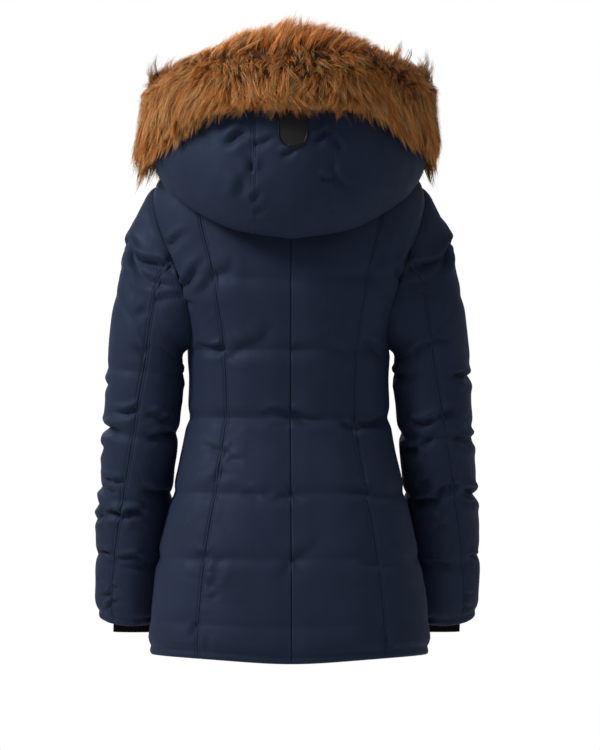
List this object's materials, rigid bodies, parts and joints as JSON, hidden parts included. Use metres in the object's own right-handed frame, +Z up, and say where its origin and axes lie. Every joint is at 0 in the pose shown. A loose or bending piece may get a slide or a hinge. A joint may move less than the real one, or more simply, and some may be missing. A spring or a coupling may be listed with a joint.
{
  "type": "fur trimmed parka",
  "caption": "Hollow hip-length down parka as worn, with set-in sleeves, ribbed cuffs, a hood lying on the back and a wide fur ruff along the hood's edge.",
  "frame": {"origin": "centre of the neckline, level with the points where the shoulder seams meet the neck", "axes": "+Z up, along the worn coat; +Y towards the back, where the hood lies; +X towards the wearer's left sleeve"},
  "size_m": [0.537, 0.3804, 0.8955],
  "materials": {
    "navy_shell": "matt fine-weave polyester shell over down filling, dark navy",
    "black_rib": "black rib knit",
    "black_patch": "dark grey matt patch with a black raised rim, bare",
    "dark_zip": "dark navy coil zip on woven tape",
    "brown_fur": "long golden brown fur with dark tips and a pale brown upper edge"
  },
  "bodies": {
    "root": {"back_left": "navy_shell", "back_right": "navy_shell", "side_back_left": "navy_shell", "side_back_right": "navy_shell", "front_left": "navy_shell", "front_right": "navy_shell", "front_placket": "navy_shell", "front_zip": "dark_zip", "sleeve_outer_left": "navy_shell", "sleeve_outer_right": "navy_shell", "sleeve_under_left": "navy_shell", "sleeve_under_right": "navy_shell", "cuff_left": "black_rib", "cuff_right": "black_rib", "hood_centre": "navy_shell", "hood_left": "navy_shell", "hood_right": "navy_shell", "hood_patch": "black_patch", "fur_trim": "brown_fur"}
  },
  "joints": []
}
